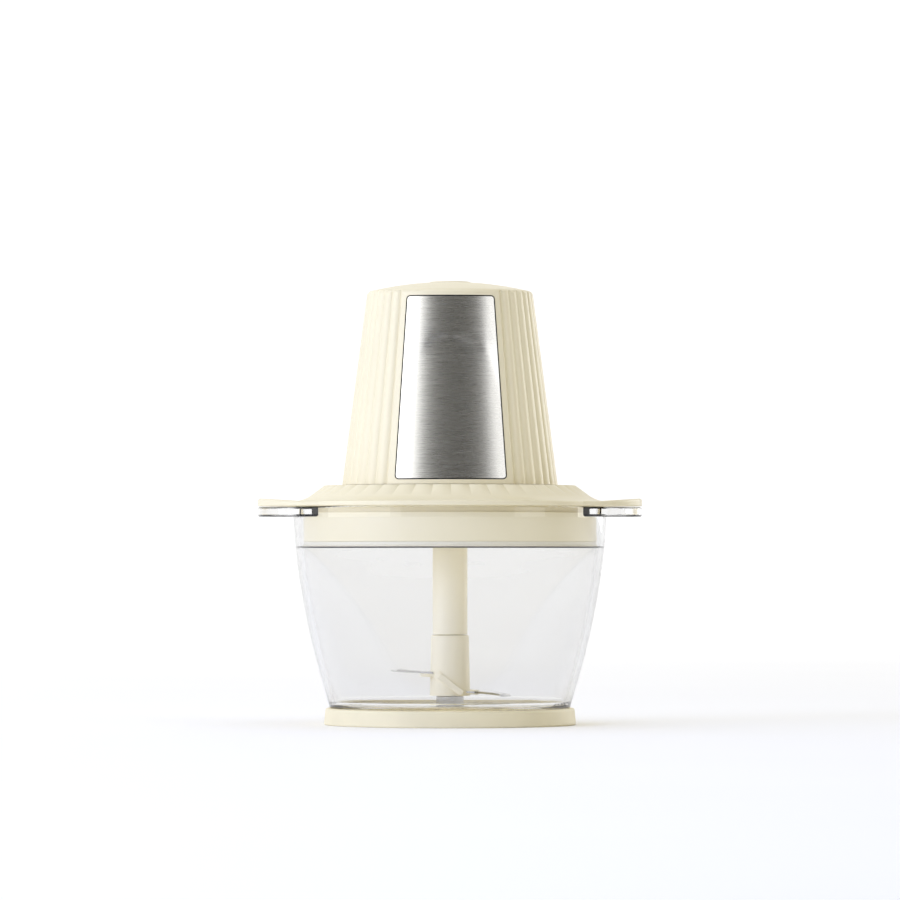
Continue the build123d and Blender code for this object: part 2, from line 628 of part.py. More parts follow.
def head_housing():
    """The ribbed casing: a spigot below, a pocket for the panel, a guide for the button."""
    shell = head_envelope() + tube(SPIGOT_R, 0, SPIGOT_FOOT_Z, HEAD_FOOT_Z + 0.5) - head_cavity()
    shell -= panel_prism(PANEL_GAP) & cone_shell(5, -PANEL_POCKET)
    roof_z = dome_z(0, HEAD_WALL)
    guide_r = BUTTON_FLANGE_R + SLIP_GAP
    shell += tube(guide_r + GUIDE_WALL, 0, GUIDE_FOOT_Z, roof_z - 0.2)
    shell -= tube(BUTTON_R + SLIP_GAP, 0, GUIDE_FOOT_Z - 1, OVERALL_H + 1)
    shell -= tube(guide_r, 0, GUIDE_FOOT_Z - 1, roof_z - 0.5)
    for angle in BOSS_ANGLES:
        shell += boss(angle, BOSS_RADIUS, SPIGOT_FOOT_Z, BOSS_TOP_Z, SPIGOT_R - 1)
        shell -= at_polar(BOSS_RADIUS, angle, tube(SCREW_R + FIXED_GAP, 0, SPIGOT_FOOT_Z - 1, BOSS_TOP_Z - 6))
    for angle in (0, 180):
        foot = BRACKET_Z[1] + SEAT_GAP
        shell += boss(angle, BRACKET_BOSS_X, foot, 213, 38.5)
        shell -= at_polar(BRACKET_BOSS_X, angle, tube(SCREW_R + FIXED_GAP, 0, foot - 1, 211))
    seat = extrude(Circle(GLAND_R + 2.5), GLAND_Y[1] - GLAND_Y[0] - 2)
    shell += Pos(0, GLAND_Y[0] + 2, GLAND_Z) * Rot(-90, 0, 0) * seat
    return shell - Pos(0, 30, GLAND_Z) * Rot(-90, 0, 0) * extrude(Circle(GLAND_R + FIXED_GAP), 30)


def cord_gland():
    """A rubber bush through the rear wall, flanged inside, for the mains cord."""
    length = GLAND_Y[1] - GLAND_Y[0]
    bush = extrude(Circle(GLAND_R), length) + extrude(Circle(GLAND_FLANGE_R), 1.8)
    bush -= extrude(Circle(GLAND_BORE_R), length)
    return Pos(0, GLAND_Y[0], GLAND_Z) * Rot(-90, 0, 0) * bush


def head_base():
    """The plate that closes the spigot and holds the output bush in its socket."""
    counterbore_z = PLATE_FOOT_Z + 2.0
    top = SPIGOT_FOOT_Z - FIXED_GAP
    plate = tube(SPIGOT_R, 0, PLATE_FOOT_Z, top)
    plate = chamfer(plate.edges().filter_by(GeomType.CIRCLE).group_by(Axis.Z)[0], 0.8)
    plate += tube(OUTPUT_BUSH_R + 3, 0, SPIGOT_FOOT_Z - 1, PLATE_SOCKET_TOP_Z)
    plate -= tube(OUTPUT_BUSH_R + FIXED_GAP, 0, PLATE_FOOT_Z - 1, PLATE_SOCKET_TOP_Z + 1)
    for angle in BOSS_ANGLES:
        plate -= at_polar(BOSS_RADIUS, angle, tube(SCREW_CLEARANCE_R, 0, PLATE_FOOT_Z - 1, top + 1))
        plate -= at_polar(BOSS_RADIUS, angle, tube(3.5, 0, PLATE_FOOT_Z - 1, counterbore_z))
    for angle in MOUNT_ANGLES:
        plate -= at_polar(MOUNT_RADIUS, angle, tube(MOUNT_SCREW_R + FIXED_GAP, 0, PLATE_FOOT_Z + 1, top + 1))
    return plate


def base_screws():
    part = screw(SCREW_R, 3.2, 1.4, 11.0)
    seat_z = PLATE_FOOT_Z + 2.0 - FIXED_GAP
    return [at_polar(BOSS_RADIUS, a, Pos(0, 0, seat_z) * Rot(180, 0, 0) * part) for a in BOSS_ANGLES]


def push_button():
    """A crowned cap with a skirt that slides in the guide and a stem that meets the plunger."""
    top = OVERALL_H
    skirt_foot, skirt_top = BUTTON_SKIRT_Z
    brow = (BUTTON_R - 0.6, 0, top - 0.15)
    side = (BUTTON_R, 0, top - 0.75)
    cap = spun([
        ThreePointArc((0, 0, top), (BUTTON_R / 2, 0, top - 0.04), brow),
        ThreePointArc(brow, (BUTTON_R - 0.18, 0, top - 0.33), side),
        Polyline(
            side, (BUTTON_R, 0, skirt_top), (BUTTON_FLANGE_R, 0, skirt_top), (BUTTON_FLANGE_R, 0, skirt_foot),
            (BUTTON_BORE_R, 0, skirt_foot), (BUTTON_BORE_R, 0, BUTTON_ROOF_Z), (0, 0, BUTTON_ROOF_Z),
            (0, 0, top),
        ),
    ])
    stem = tube(BUTTON_STEM_R, 0, SWITCH_Z[1] + PLUNGER_RISE, BUTTON_ROOF_Z + 0.5)
    return cap + stem


def button_spring():
    low = BRACKET_Z[1] + SPRING_WIRE_R + 0.05
    high = BUTTON_ROOF_Z - SPRING_WIRE_R - 0.05
    path = Helix(pitch=(high - low) / SPRING_TURNS, height=high - low, radius=SPRING_R, center=(0, 0, low))
    profile = Plane(origin=path @ 0, z_dir=path % 0) * Circle(SPRING_WIRE_R)
    return sweep(profile, path=path, is_frenet=True)


# ---- push switch and electronics ----------------------------------------------------------------
def switch_bracket():
    bar = block((-37.5, 37.5), (-6, 6), BRACKET_Z) + tube(12, 0, *BRACKET_Z)
    for angle in (0, 180):
        bar -= at_polar(BRACKET_BOSS_X, angle, tube(SCREW_CLEARANCE_R, 0, BRACKET_Z[0] - 1, BRACKET_Z[1] + 1))
    return bar


def bracket_screws():
    part = screw(SCREW_R, 3.0, 1.4, 8.5)
    seat = Pos(0, 0, BRACKET_Z[0] - FIXED_GAP) * Rot(180, 0, 0)
    return [at_polar(BRACKET_BOSS_X, a, seat * part) for a in (0, 180)]


def switch_body():
    half_x, half_y = SWITCH_HALF
    body = fillet(block((-half_x, half_x), (-half_y, half_y), SWITCH_Z).edges().filter_by(Axis.Z), 0.5)
    return body - tube(SWITCH_BORE_R, 0, SWITCH_Z[1] - SWITCH_BORE_DEPTH, SWITCH_Z[1] + 1)


def switch_plunger():
    top = SWITCH_Z[1] + PLUNGER_RISE - FIXED_GAP
    return tube(PLUNGER_R, 0, SWITCH_Z[1] - 1.8, top)


def control_board():
    return block((-17, 17), BOARD_Y, (150, 190))


def board_capacitor():
    can_r = 4.0
    return Pos(-11, BOARD_Y[0] - can_r - FIXED_GAP, 0) * tube(can_r, 0, 178, 189)


def rectifier():
    return block((3, 12), (BOARD_Y[0] - 3.6, BOARD_Y[0] - FIXED_GAP), (178, 187))


# ---- gears --------------------------------------------------------------------------------------
def gear_outline(teeth, tip_add, root_cut, thin, internal=False):
    """Involute teeth about Z: flanks from the base circle, thinned for backlash."""
    pitch_r = GEAR_MODULE * teeth / 2
    base_r = pitch_r * math.cos(PRESSURE_ANGLE)
    tip_r = pitch_r + tip_add
    root_r = pitch_r - root_cut
    inv_pitch = math.tan(PRESSURE_ANGLE) - PRESSURE_ANGLE
    half_at_pitch = math.pi / (2 * teeth) - thin / (2 * pitch_r)

    def half_angle(r):
        rolled = math.acos(min(1.0, base_r / r))
        return half_at_pitch + inv_pitch - (math.tan(rolled) - rolled)

    def point(r, angle):
        return (r * math.cos(angle), r * math.sin(angle))

    start_r = max(base_r, root_r)
    radii = [start_r + (tip_r - start_r) * i / 3 for i in range(4)]
    edges = []
    for tooth in range(teeth):
        middle = 2 * math.pi * tooth / teeth
        rise = [point(r, middle - half_angle(r)) for r in radii]
        fall = [point(r, middle + half_angle(r)) for r in reversed(radii)]
        next_middle = middle + 2 * math.pi / teeth
        low_in = point(root_r, middle - half_angle(start_r))
        low_out = point(root_r, middle + half_angle(start_r))
        next_in = point(root_r, next_middle - half_angle(start_r))
        if root_r < start_r:
            edges.append(Line(low_in, rise[0]))
        edges.append(Spline(*rise))
        edges.append(Line(rise[-1], fall[0]))
        edges.append(Spline(*fall))
        if root_r < start_r:
            edges.append(Line(fall[-1], low_out))
        edges.append(Line(low_out, next_in))
    return make_face(Wire(edges))


def external_gear(teeth, bore_r, turn):
    face = gear_outline(teeth, 0.72, 0.95, GEAR_BACKLASH)
    gear = Pos(0, 0, GEAR_Z[0]) * extrude(face, GEAR_Z[1] - GEAR_Z[0])
    return Rot(0, 0, turn) * (gear - tube(bore_r, 0, GEAR_Z[0] - 1, GEAR_Z[1] + 1))


def sun_pinion():
    pinion = external_gear(SUN_TEETH, PINION_SHAFT_R + FIXED_GAP, 0)
    return pinion + tube(3.4, PINION_SHAFT_R + FIXED_GAP, GEAR_Z[1], GEAR_Z[1] + 2.5)


def planet_gear(index):
    """A planet whose tooth space faces the sun's tooth, and whose teeth fit the ring."""
    direction = index * 360 / PLANETS
    turn = direction + 180 + 180 / PLANET_TEETH
    gear = external_gear(PLANET_TEETH, PLANET_PIN_R + RUN_GAP, turn)
    return Rot(0, 0, direction) * Pos(CENTRE_DISTANCE, 0, 0) * Rot(0, 0, -direction) * gear


def ring_gear():
    """Internal teeth: the spaces have the shape of an external gear's teeth, made a little larger."""
    pitch_r = GEAR_MODULE * RING_TEETH / 2
    spaces = gear_outline(RING_TEETH, 0.98, 0.62, -GEAR_BACKLASH)
    ring_z = (GEAR_Z[0] - 0.2, GEAR_Z[1] + 0.3)
    depth = ring_z[1] - ring_z[0] + 2
    hollow = Pos(0, 0, ring_z[0] - 1) * Rot(0, 0, 180 / RING_TEETH) * extrude(spaces, depth)
    return tube(pitch_r + RING_RIM, 0, *ring_z) - hollow


def planet_carrier():
    plate = tube(CARRIER_R, 0, *CARRIER_Z)
    hole = tube(PLANET_PIN_R + FIXED_GAP, 0, CARRIER_Z[0] - 1, CARRIER_Z[1] + 1)
    for index in range(PLANETS):
        plate -= at_polar(CENTRE_DISTANCE, index * 360 / PLANETS, hole)
    return plate - tube(CARRIER_BORE_R + FIXED_GAP, 0, CARRIER_Z[0] - 1, CARRIER_Z[1] + 1)


def planet_pins():
    pin = tube(PLANET_PIN_R, 0, CARRIER_Z[0] + 0.1, GEAR_Z[1] + 0.5)
    return [at_polar(CENTRE_DISTANCE, i * 360 / PLANETS, pin) for i in range(PLANETS)]


def drive_shaft():
    """Steel output shaft: a hexagon that enters the stem, a journal and a head in the carrier."""
    journal_foot = PLATE_FOOT_Z + 0.2
    hexagon = extrude(RegularPolygon(HEX_HALF / math.cos(math.pi / 6), 6), journal_foot + 0.2 - HEX_FOOT_Z)
    foot = HEX_FOOT_Z
    lead_in = turned([(0, foot), (4.2, foot), (5.3, foot + 1.3), (6, foot + 18.5), (0, foot + 18.5)])
    shaft = (Pos(0, 0, HEX_FOOT_Z) * hexagon) & lead_in
    shaft += tube(JOURNAL_R, 0, journal_foot, CARRIER_Z[0] - 0.1)
    return shaft + tube(CARRIER_BORE_R, 0, CARRIER_Z[0] - 0.2, CARRIER_Z[1])


def output_bush():
    return tube(OUTPUT_BUSH_R, JOURNAL_R + RUN_GAP, PLATE_FOOT_Z + 0.2, PLATE_SOCKET_TOP_Z)


def gearbox_case():
    """A cup round the ring gear, with four lugs that stand on the rubber mounts."""
    foot, top = CASE_Z
    bore_r = GEAR_MODULE * RING_TEETH / 2 + RING_RIM + FIXED_GAP
    case = tube(CASE_R, bore_r, foot, top) + tube(CASE_R, CARRIER_R + 0.8, foot, GEAR_Z[0] - 0.25)
    for angle in MOUNT_ANGLES:
        lug = tube(5.0, 0, foot, foot + LUG_T) + block((-7, 0), (-4, 4), (foot, foot + LUG_T))
        case += at_polar(MOUNT_RADIUS, angle, lug) - tube(CASE_R - 0.7, 0, foot - 1, top + 1)
        case -= at_polar(MOUNT_RADIUS, angle, tube(MOUNT_SCREW_R + 0.3, 0, foot - 1, top + 1))
    return case


def rubber_mounts():
    ring = tube(4.4, MOUNT_SCREW_R + 0.2, SPIGOT_FOOT_Z, CASE_Z[0] - FIXED_GAP)
    return [at_polar(MOUNT_RADIUS, a, ring) for a in MOUNT_ANGLES]


def gearbox_screws():
    part = Pos(0, 0, CASE_Z[0] + LUG_T + FIXED_GAP) * screw(MOUNT_SCREW_R, 2.9, 1.5, 6.6)
    return [at_polar(MOUNT_RADIUS, a, part) for a in MOUNT_ANGLES]


def gearbox_cover():
    """The lid of the gearbox, with two pillars that carry the motor."""
    cover_z = (CASE_Z[1] + FIXED_GAP, CASE_Z[1] + COVER_T)
    cover = tube(CASE_R, 6.0, *cover_z)
    for side in (0, 180):
        foot = block((21.5, 28.0), (-4, 4), cover_z)
        pillar = block((22.0, 28.0), (-4, 4), (cover_z[0] + 1.0, BRACKET_LOW_Z[0] - FIXED_GAP))
        cover += Rot(0, 0, side) * (foot + pillar)
        thread = tube(PILLAR_SCREW_R + FIXED_GAP, 0, cover_z[1] + 1, BRACKET_LOW_Z[0] + 1)
        cover -= Rot(0, 0, side) * Pos(PILLAR_X, 0, 0) * thread
    return cover


# ---- motor --------------------------------------------------------------------------------------
def motor_shaft():
    pinion_top = GEAR_Z[1] + 3.7
    pinion_end = tube(PINION_SHAFT_R, 0, GEAR_Z[0], pinion_top)
    return pinion_end + tube(SHAFT_R, 0, pinion_top - 0.2, BRACKET_HIGH_Z[1] + 3)


def armature_core():
    low, high = CORE_Z[0] - 1, CORE_Z[1] + 1
    core = tube(ARMATURE_R, SHAFT_R + FIXED_GAP, *CORE_Z)
    slot = block((7.5, ARMATURE_R - 1.2), (-1.5, 1.5), (low, high))
    slot += block((10, ARMATURE_R + 1), (-0.6, 0.6), (low, high))
    for index in range(ARMATURE_SLOTS):
        core -= Rot(0, 0, index * 360 / ARMATURE_SLOTS) * slot
    return core


def end_turns(face_z, way):
    """The crown of wire at one end of the core; way is +1 above it and -1 below."""
    return turned([
        (3.4, face_z + way * 4.2), (9, face_z + way * 4.2), (12.4, face_z + way * 2.6),
        (12.6, face_z + way * 0.1), (3.4, face_z + way * 0.1),
    ])


def armature_winding():
    """Copper in the slots, joined by the end turns above and below the core."""
    coil = end_turns(CORE_Z[0], -1) + end_turns(CORE_Z[1], 1)
    bundle = block((7.8, ARMATURE_R - 1.5), (-1.3, 1.3), (CORE_Z[0] - 0.2, CORE_Z[1] + 0.2))
    for index in range(ARMATURE_SLOTS):
        coil += Rot(0, 0, index * 360 / ARMATURE_SLOTS) * bundle
    return coil


def commutator():
    foot, top = COMMUTATOR_Z
    drum = tube(COMMUTATOR_R, SHAFT_R + FIXED_GAP, foot, top)
    drum += tube(COMMUTATOR_R + 1.2, SHAFT_R + FIXED_GAP, foot, foot + 1.6)
    groove = block((COMMUTATOR_R - 1, COMMUTATOR_R + 2), (-0.2, 0.2), (foot - 1, top + 1))
    for bar in range(COMMUTATOR_BARS):
        drum -= Rot(0, 0, bar * 360 / COMMUTATOR_BARS) * groove
    return drum


def cooling_fan():
    foot, top = FAN_Z
    fan = tube(6.0, SHAFT_R + FIXED_GAP, foot, top) + tube(FAN_R, SHAFT_R + FIXED_GAP, foot, foot + 1.2)
    vane = block((5.0, FAN_R - 0.2), (-0.6, 0.6), (foot + 0.6, top - 0.6))
    for index in range(FAN_VANES):
        fan += Rot(0, 0, index * 360 / FAN_VANES) * vane
    return fan


def stator_core():
    """A square frame with two pole shoes round the armature."""
    core = block((-STATOR_HALF, STATOR_HALF), (-STATOR_HALF, STATOR_HALF), CORE_Z)
    core = fillet(core.edges().filter_by(Axis.Z), 5.0)
    through_z = (CORE_Z[0] - 1, CORE_Z[1] + 1)
    core -= block((-20.5, 20.5), (-21, 21), through_z)
    shoes = tube(18.0, 0, *CORE_Z) & block((-20, 20), (-22, 22), CORE_Z)
    shoes -= block((-20, 20), (-9.5, 9.5), CORE_Z)
    core += shoes + block((-8, 8), (-22, 22), CORE_Z)
    core -= tube(STATOR_BORE_R, 0, *through_z)
    for side in (1, -1):
        core -= Pos(side * PILLAR_X, 0, 0) * tube(PILLAR_SCREW_R + 0.2, 0, *through_z)
    return core


def stator_coils():
    loop = block((-14.5, 14.5), (18.4, 20.7), (CORE_Z[0] - 4.5, CORE_Z[1] + 4.5))
    loop -= block((-8.3, 8.3), (17, 22), (CORE_Z[0] - 0.3, CORE_Z[1] + 0.3))
    loop = fillet(loop.edges().filter_by(Axis.Y).group_by(SortBy.LENGTH)[-1], 0.8)
    return [Rot(0, 0, turn) * loop for turn in (0, 180)]


def bracket(z_range, leg_z):
    """A motor end frame: a bar with a bearing seat and two legs that meet the stator."""
    frame = block((-28, 28), (-7, 7), z_range) + tube(9.0, 0, *z_range)
    for side in (0, 180):
        frame += Rot(0, 0, side) * block((22.4, 28), (-5, 5), leg_z)
        hole = tube(PILLAR_SCREW_R + 0.2, 0, leg_z[0] - 1, leg_z[1] + 1)
        frame -= Rot(0, 0, side) * Pos(PILLAR_X, 0, 0) * hole
    return frame - tube(BEARING_R + FIXED_GAP, 0, z_range[0] - 1, z_range[1] + 1)


def lower_bracket():
    return bracket(BRACKET_LOW_Z, (BRACKET_LOW_Z[0], CORE_Z[0] - FIXED_GAP))


def upper_bracket():
    """The upper end frame also carries the two brush tubes on hangers."""
    top = BRACKET_HIGH_Z[1]
    frame = bracket(BRACKET_HIGH_Z, (CORE_Z[1] + FIXED_GAP, top))
    for side in (90, 270):
        hanger = block((12, 25), (-5.5, 5.5), (TUBE_Z[0] - 0.8, top))
        link = block((7, 13), (-5.5, 5.5), BRACKET_HIGH_Z)
        frame += Rot(0, 0, side) * (hanger + link)
        frame -= Rot(0, 0, side) * block((11, 26), (-TUBE_HALF, TUBE_HALF), TUBE_Z)
    return frame


def brush_tubes():
    half = TUBE_HALF - FIXED_GAP
    shell = block((11.2, 26.0), (-half, half), (TUBE_Z[0] + FIXED_GAP, TUBE_Z[1] - FIXED_GAP))
    shell -= block((11, 25.2), (-half + 0.63, half - 0.63), (TUBE_Z[0] + 0.8, TUBE_Z[1] - 0.8))
    return [Rot(0, 0, a) * shell for a in (90, 270)]


def carbon_brushes():
    contact_r = COMMUTATOR_R + 0.05
    brush = block((contact_r, 20.0), (-2.5, 2.5), (TUBE_Z[0] + 0.85, TUBE_Z[1] - 0.85))
    brush -= tube(contact_r, 0, *COMMUTATOR_Z)
    return [Rot(0, 0, a) * brush for a in (90, 270)]


def brush_springs():
    path = Helix(pitch=1.2, height=4.8, radius=1.7)
    coil = sweep(Plane(origin=path @ 0, z_dir=path % 0) * Circle(0.22), path=path, is_frenet=True)
    lying = Pos(20.2, 0, sum(TUBE_Z) / 2) * Rot(0, 90, 0) * coil
    return [Rot(0, 0, a) * lying for a in (90, 270)]


def bearing(z_range):
    return tube(BEARING_R, SHAFT_R + RUN_GAP, z_range[0] - 0.7, z_range[1] + 1.0)


def lower_bearing():
    return bearing(BRACKET_LOW_Z)


def upper_bearing():
    return bearing(BRACKET_HIGH_Z)


def motor_screws():
    part = screw(PILLAR_SCREW_R, 2.8, 1.6, 54.0)
    return [Pos(side * PILLAR_X, 0, BRACKET_HIGH_Z[1] + FIXED_GAP) * part for side in (1, -1)]


# ---- write the parts ----------------------------------------------------------------------------
def main():
    os.makedirs("parts", exist_ok=True)
    single = [
        base_ring, glass_bowl, pivot_pin, pin_seal, pin_washer, pin_nut, pivot_sleeve, blade_hub, blade_stem,
        upper_blade, lower_blade, lid, lid_insert, lid_seal, lid_bush, head_housing, front_panel,
        panel_gasket, cord_gland, head_base, push_button, button_spring, switch_bracket, switch_body,
        switch_plunger, control_board, board_capacitor, rectifier, sun_pinion, ring_gear, planet_carrier,
        drive_shaft, output_bush, gearbox_case, gearbox_cover, motor_shaft, armature_core,
        armature_winding, commutator, cooling_fan, stator_core, lower_bracket, upper_bracket,
        lower_bearing, upper_bearing,
    ]
    groups = [
        base_screws, bracket_screws, planet_pins, rubber_mounts, gearbox_screws, stator_coils,
        brush_tubes, carbon_brushes, brush_springs, motor_screws,
    ]
    for make in single:
        save(make.__name__, make())
    for make in groups:
        save(make.__name__, *make())
    for index in range(PLANETS):
        save(f"planet_gear_{index + 1}", planet_gear(index))


main()
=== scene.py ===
import json
import math

import bmesh
import bpy
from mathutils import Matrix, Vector


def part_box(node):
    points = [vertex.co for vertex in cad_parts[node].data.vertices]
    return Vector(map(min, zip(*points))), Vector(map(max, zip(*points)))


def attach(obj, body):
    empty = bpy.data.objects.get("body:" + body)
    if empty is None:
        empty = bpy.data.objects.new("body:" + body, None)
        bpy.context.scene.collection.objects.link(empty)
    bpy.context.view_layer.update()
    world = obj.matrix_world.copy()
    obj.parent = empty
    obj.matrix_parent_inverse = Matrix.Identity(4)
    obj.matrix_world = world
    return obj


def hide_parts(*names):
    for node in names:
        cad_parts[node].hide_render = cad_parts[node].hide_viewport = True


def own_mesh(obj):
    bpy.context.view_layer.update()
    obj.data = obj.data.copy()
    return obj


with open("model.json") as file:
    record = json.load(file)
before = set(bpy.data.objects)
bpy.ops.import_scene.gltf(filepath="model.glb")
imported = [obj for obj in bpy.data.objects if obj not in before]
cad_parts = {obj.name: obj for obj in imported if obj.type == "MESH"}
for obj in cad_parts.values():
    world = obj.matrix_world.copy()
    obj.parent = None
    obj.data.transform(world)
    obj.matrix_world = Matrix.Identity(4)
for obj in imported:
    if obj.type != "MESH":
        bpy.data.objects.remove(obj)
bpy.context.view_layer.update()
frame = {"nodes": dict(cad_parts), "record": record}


# ---- node materials -----------------------------------------------------------------------------
class Shade:
    """A node material under construction: a Principled shader and short ways to add nodes to it."""

    def __init__(self, name, **values):
        self.material = bpy.data.materials.new(name)
        self.material.use_nodes = True
        tree = self.material.node_tree
        self.nodes, self.links = tree.nodes, tree.links
        self.bsdf = self.nodes["Principled BSDF"]
        for socket, value in values.items():
            self.set(socket.replace("_", " "), value)
        place = self.nodes.new("ShaderNodeTexCoord")
        self.place = place.outputs["Object"]

    def set(self, socket, value):
        self.bsdf.inputs[socket].default_value = value

    def mapped(self, scale):
        node = self.nodes.new("ShaderNodeMapping")
        node.inputs["Scale"].default_value = scale
        self.links.new(self.place, node.inputs["Vector"])
        return node.outputs["Vector"]

    def noise(self, scale, detail=2.0, stretch=(1, 1, 1), roughness=0.5):
        node = self.nodes.new("ShaderNodeTexNoise")
        node.inputs["Scale"].default_value = scale
        node.inputs["Detail"].default_value = detail
        node.inputs["Roughness"].default_value = roughness
        self.links.new(self.mapped(stretch), node.inputs["Vector"])
        return node.outputs["Fac"]

    def ramp(self, factor, low, high, low_at=0.3, high_at=0.7):
        node = self.nodes.new("ShaderNodeValToRGB")
        node.color_ramp.elements[0].position = low_at
        node.color_ramp.elements[1].position = high_at
        node.color_ramp.elements[0].color = low
        node.color_ramp.elements[1].color = high
        self.links.new(factor, node.inputs["Fac"])
        return node.outputs["Color"]

    def span(self, factor, low, high):
        node = self.nodes.new("ShaderNodeMapRange")
        node.inputs["To Min"].default_value = low
        node.inputs["To Max"].default_value = high
        self.links.new(factor, node.inputs["Value"])
        return node.outputs["Result"]

    def height_line(self, z, width, plain, line):
        """A colour that changes in a thin band at one height."""
        split = self.nodes.new("ShaderNodeSeparateXYZ")
        self.links.new(self.place, split.inputs[0])
        near = self.nodes.new("ShaderNodeMath")
        near.operation = "COMPARE"
        self.links.new(split.outputs["Z"], near.inputs[0])
        near.inputs[1].default_value = z
        near.inputs[2].default_value = width / 2
        return self.ramp(near.outputs[0], plain, line, 0.4, 0.6)

    def feed(self, socket, output):
        self.links.new(output, self.bsdf.inputs[socket])

    def bump(self, height, distance, below=None):
        """Relief of so many metres, on top of another bump where one is given."""
        node = self.nodes.new("ShaderNodeBump")
        node.inputs["Distance"].default_value = distance
        node.inputs["Strength"].default_value = 1.0
        self.links.new(height, node.inputs["Height"])
        if below is not None:
            self.links.new(below, node.inputs["Normal"])
        self.links.new(node.outputs["Normal"], self.bsdf.inputs["Normal"])
        return node.outputs["Normal"]


def grey(value):
    return (value, value, value, 1.0)


def tinted(color, factor):
    return (color[0] * factor, color[1] * factor, color[2] * factor, 1.0)


CREAM = (0.845, 0.765, 0.525)
# painted light: lighter copies of the cream for the parts inside the glass bowl, so they read as
# more brightly lit
PAINTED_LIT_INNER_CREAM = (0.97, 0.90, 0.67)
PAINTED_LIT_PLUG_CREAM = (0.91, 0.82, 0.545)
PAINTED_LIGHT_AND_SHADE_COPIES = {            # nodes that take a copy of their slot's material painted lighter or darker: painted light and shade
    "blade_stem": "cream_inner_painted_lit",
    "blade_hub": "cream_inner_painted_lit",
    "lid_insert": "cream_plug_painted_lit",
    # painted shade: the pivot pin takes a darker copy of the bright steel
    "pivot_pin": "pin_steel_painted_dark",
}


def moulded(name, color, roughness):
    """Injection-moulded plastic: spark-eroded grain, faint flow mottling and uneven gloss."""
    s = Shade(name, Roughness=roughness, IOR=1.5)
    s.feed("Base Color", s.ramp(s.noise(14, 3), tinted(color, 0.97), tinted(color, 1.0)))
    s.feed("Roughness", s.span(s.noise(60, 4), roughness - 0.05, roughness + 0.06))
    waviness = s.bump(s.noise(90, 2), 0.00003)
    s.bump(s.noise(2600, 2), 0.000012, below=waviness)
    return s.material


LEDGE_Z = 0.0887            # the ledge inside the bowl, where a dark line of painted shade is laid into the glass's colour
LEDGE_SHADE_LINE = 0.0006         # the painted shade line's height
GLASS_TINT = 0.90
# the glass's colour along the ledge: painted shade, near black
LEDGE_PAINTED_SHADE = 0.06


def glass(name):
    """Clear cast glass that lets the lamps light what it holds."""
    s = Shade(name, Roughness=0.0, IOR=1.5)
    s.set("Transmission Weight", 1.0)
    # painted shade: the glass's colour turns near black in a thin band at the ledge's height
    s.feed("Base Color", s.height_line(LEDGE_Z, LEDGE_SHADE_LINE, grey(GLASS_TINT), grey(LEDGE_PAINTED_SHADE)))
    s.bump(s.noise(25, 1), 0.00002)
    open_side = s.nodes.new("ShaderNodeBsdfTransparent")
    path = s.nodes.new("ShaderNodeLightPath")
    lighting = s.nodes.new("ShaderNodeMath")
    lighting.operation = "MAXIMUM"
    s.links.new(path.outputs["Is Shadow Ray"], lighting.inputs[0])
    s.links.new(path.outputs["Is Diffuse Ray"], lighting.inputs[1])
    mix = s.nodes.new("ShaderNodeMixShader")
    s.links.new(lighting.outputs[0], mix.inputs[0])
    s.links.new(s.bsdf.outputs[0], mix.inputs[1])
    s.links.new(open_side.outputs[0], mix.inputs[2])
    s.links.new(mix.outputs[0], s.nodes["Material Output"].inputs["Surface"])
    return s.material


def brushed(name, color, roughness=0.24, fine=5200, along=(0.012, 0.012, 1.0), turn=0.7):
    """Steel brushed round the Z axis: streaks long across and fine in height."""
    s = Shade(name, Metallic=1.0, Roughness=roughness)
    s.set("Anisotropic", turn)
    tangent = s.nodes.new("ShaderNodeTangent")
    tangent.direction_type = "RADIAL"
    tangent.axis = "Z"
    s.links.new(tangent.outputs["Tangent"], s.bsdf.inputs["Tangent"])
    streaks = s.noise(fine, 3, along, 0.65)
    s.feed("Base Color", s.ramp(streaks, tinted(color, 0.79), tinted(color, 1.0), 0.3, 0.7))
    s.feed("Roughness", s.span(streaks, roughness - 0.05, roughness + 0.08))
    s.bump(streaks, 0.000002)
    return s.material


def turned_metal(name, color, roughness=0.22):
    """Metal turned or drawn about Z, with fine rings."""
    s = Shade(name, Metallic=1.0, Roughness=roughness)
    rings = s.noise(3500, 2, (0.05, 0.05, 1.0))
    s.feed("Base Color", s.ramp(s.noise(120, 3), tinted(color, 0.88), tinted(color, 1.05)))
    s.feed("Roughness", s.span(rings, roughness - 0.06, roughness + 0.12))
    s.bump(rings, 0.000006)
    return s.material


def rubbery(name, color, roughness=0.62):
    """Rubber, silicone or sintered metal: matt, with a close soft grain."""
    s = Shade(name, Roughness=roughness, IOR=1.45)
    s.feed("Base Color", s.ramp(s.noise(40, 4), tinted(color, 0.93), tinted(color, 1.02)))
    s.feed("Roughness", s.span(s.noise(300, 3), roughness - 0.08, roughness + 0.08))
    s.bump(s.noise(1800, 3), 0.00002)
    return s.material


def wound_copper(name, color):
    """Lacquered wire laid side by side."""
    s = Shade(name, Metallic=0.85, Roughness=0.3)
    s.set("Coat Weight", 0.6)
    wires = s.noise(1600, 1, (1.0, 1.0, 0.08))
    s.feed("Base Color", s.ramp(wires, tinted(color, 0.55), tinted(color, 1.1)))
    s.bump(wires, 0.0001)
    return s.material


def laminated(name, color):
    """A stack of thin iron sheets."""
    s = Shade(name, Metallic=0.8, Roughness=0.45)
    sheets = s.nodes.new("ShaderNodeTexWave")
    sheets.bands_direction = "Z"
    sheets.inputs["Scale"].default_value = 320
    s.links.new(s.place, sheets.inputs["Vector"])
    bands = sheets.outputs["Fac"]
    s.feed("Base Color", s.ramp(bands, tinted(color, 0.5), tinted(color, 1.0), 0.1, 0.4))
    s.feed("Roughness", s.span(s.noise(90, 3), 0.38, 0.55))
    s.bump(bands, 0.00004)
    return s.material


